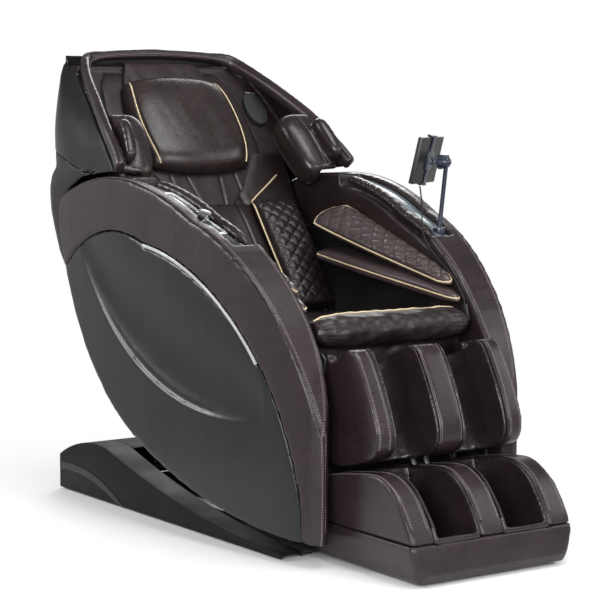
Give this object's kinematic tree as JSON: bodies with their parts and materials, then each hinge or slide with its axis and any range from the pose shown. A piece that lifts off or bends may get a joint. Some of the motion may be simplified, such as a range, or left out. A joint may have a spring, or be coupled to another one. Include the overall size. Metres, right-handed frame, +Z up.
{
  "type": "massage chair",
  "caption": "Full-body massage chair with hooded reclining back, padded arms on a tilting seat, lifting calf rest with extending foot rest, head pillow and a tablet controller on a stand.",
  "frame": {"origin": "on the floor under the middle of the chair, midway between the toe of the foot rest and the rear of the hood", "axes": "+Z up, +X to the left of the sitter, +Y to the rear of the chair; the sitter faces -Y"},
  "size_m": [0.8418, 1.65, 1.306],
  "materials": {
    "base_steel": "satin",
    "rail_steel": "satin",
    "frame_paint": "satin",
    "graphite_gloss": "gloss",
    "hood_plastic": "gloss",
    "accent_plastic": "satin",
    "rubber": "matt",
    "black_plastic": "satin",
    "switch_red": "gloss",
    "board": "matt",
    "leather": "satin",
    "chrome": "polished",
    "knob_metal": "satin",
    "slate": "satin",
    "console_black": "gloss",
    "stand_navy": "satin",
    "roller_plastic": "matt"
  },
  "bodies": {
    "base": {"base_plate": "base_steel", "base_rails": "rail_steel", "base_side_left": "graphite_gloss", "base_side_right": "graphite_gloss", "base_rear_cover": "graphite_gloss", "base_accents": "accent_plastic", "base_feet": "rubber", "power_inlet": "black_plastic"},
    "wheels": {"wheel_axle": "rail_steel", "transport_wheels": "rubber"},
    "switch": {"power_switch": "switch_red"},
    "carriage": {"carriage": "base_steel"},
    "seat": {"seat_sides": "frame_paint", "seat_tubes": "rail_steel", "seat_pan": "board", "pivot_pins": "rail_steel", "seat_cushion": "leather", "seat_roll": "leather", "arm_cores": "leather", "arm_band_left": "leather", "arm_band_right": "leather", "side_panel_left": "graphite_gloss", "side_panel_right": "graphite_gloss", "light_strips": "chrome", "arm_tray": "slate", "arm_console": "console_black", "arm_bolsters": "leather", "forearm_top_left": "leather", "forearm_top_right": "leather", "forearm_low_left": "leather", "forearm_low_right": "leather", "stand_base": "stand_navy", "tablet_lead": "black_plastic", "lead_plug": "black_plastic"},
    "knob": {"control_knob": "knob_metal"},
    "ball_cup": {"tablet_ball": "stand_navy"},
    "tablet": {"tablet_holder": "stand_navy", "tablet": "stand_navy"},
    "back": {"back_frame": "frame_paint", "hood_shell": "hood_plastic", "back_skirt": "leather", "hood_rim": "leather", "hood_liner": "leather", "back_pad": "leather", "lumbar_pads": "leather", "head_flap": "leather", "shoulder_pad_left": "leather", "shoulder_pad_right": "leather", "speakers": "black_plastic", "massage_rails": "rail_steel"},
    "pillow": {"pillow": "leather"},
    "massage_carriage": {"massage_carriage": "frame_paint"},
    "massage_arms": {"massage_arms": "black_plastic"},
    "massage_rollers": {"massage_rollers": "roller_plastic"},
    "calf_rest": {"calf_shell": "leather", "calf_pads": "leather"},
    "foot_rest": {"foot_tray": "leather", "foot_walls": "leather", "foot_linings": "leather", "foot_rods": "rail_steel"}
  },
  "joints": [
    {"name": "wheel_roll", "type": "hinge", "parent": "base", "child": "wheels", "pos_m": [0, 0.723, 0.038], "axis": [1, 0, 0], "continuous": true},
    {"name": "switch_rocker", "type": "hinge", "parent": "base", "child": "switch", "pos_m": [0.016, 0.756, 0.062], "axis": [1, 0, 0], "range_deg": [-8, 8]},
    {"name": "seat_slide", "type": "slide", "parent": "base", "child": "carriage", "axis": [0, -1, 0], "range_m": [0, 0.12]},
    {"name": "seat_tilt", "type": "hinge", "parent": "carriage", "child": "seat", "pos_m": [0, -0.34, 0.112], "axis": [-1, 0, 0], "range_deg": [0, 12]},
    {"name": "back_recline", "type": "hinge", "parent": "seat", "child": "back", "pos_m": [0, 0.437, 0.505], "axis": [-1, 0, 0], "range_deg": [0, 38]},
    {"name": "massage_travel", "type": "slide", "parent": "back", "child": "massage_carriage", "axis": [0, 0.6157, 0.788], "range_m": [0, 0.45]},
    {"name": "massage_knead", "type": "hinge", "parent": "massage_carriage", "child": "massage_arms", "pos_m": [0, 0.37351, 0.59413], "axis": [1, 0, 0], "range_deg": [-8, 8]},
    {"name": "roller_spin", "type": "hinge", "parent": "massage_arms", "child": "massage_rollers", "pos_m": [0, 0.39593, 0.6553], "axis": [1, 0, 0], "continuous": true},
    {"name": "pillow_flip", "type": "hinge", "parent": "back", "child": "pillow", "pos_m": [0, 0.73419, 1.20322], "axis": [-1, 0, 0], "range_deg": [0, 75]},
    {"name": "calf_lift", "type": "hinge", "parent": "seat", "child": "calf_rest", "pos_m": [0, -0.425, 0.5], "axis": [-1, 0, 0], "range_deg": [0, 54]},
    {"name": "foot_extend", "type": "slide", "parent": "calf_rest", "child": "foot_rest", "axis": [0, -0.5, -0.866], "range_m": [0, 0.067]},
    {"name": "knob_turn", "type": "hinge", "parent": "seat", "child": "knob", "pos_m": [-0.34778, -0.045, 0.83671], "axis": [0, -0.4501, 0.893], "range_deg": [-150, 150]},
    {"name": "tablet_swivel", "type": "hinge", "parent": "seat", "child": "ball_cup", "pos_m": [0.33805, -0.19447, 0.97978], "axis": [0, 0, 1], "range_deg": [-30, 30]},
    {"name": "tablet_tilt", "type": "hinge", "parent": "ball_cup", "child": "tablet", "pos_m": [0.31969, -0.16826, 0.97978], "axis": [0.8192, 0.5736, 0], "range_deg": [0, 20]}
  ],
  "couplings": [
    {"joint": "foot_extend", "follows": "calf_lift", "m_per_rad": 0.0705}
  ]
}
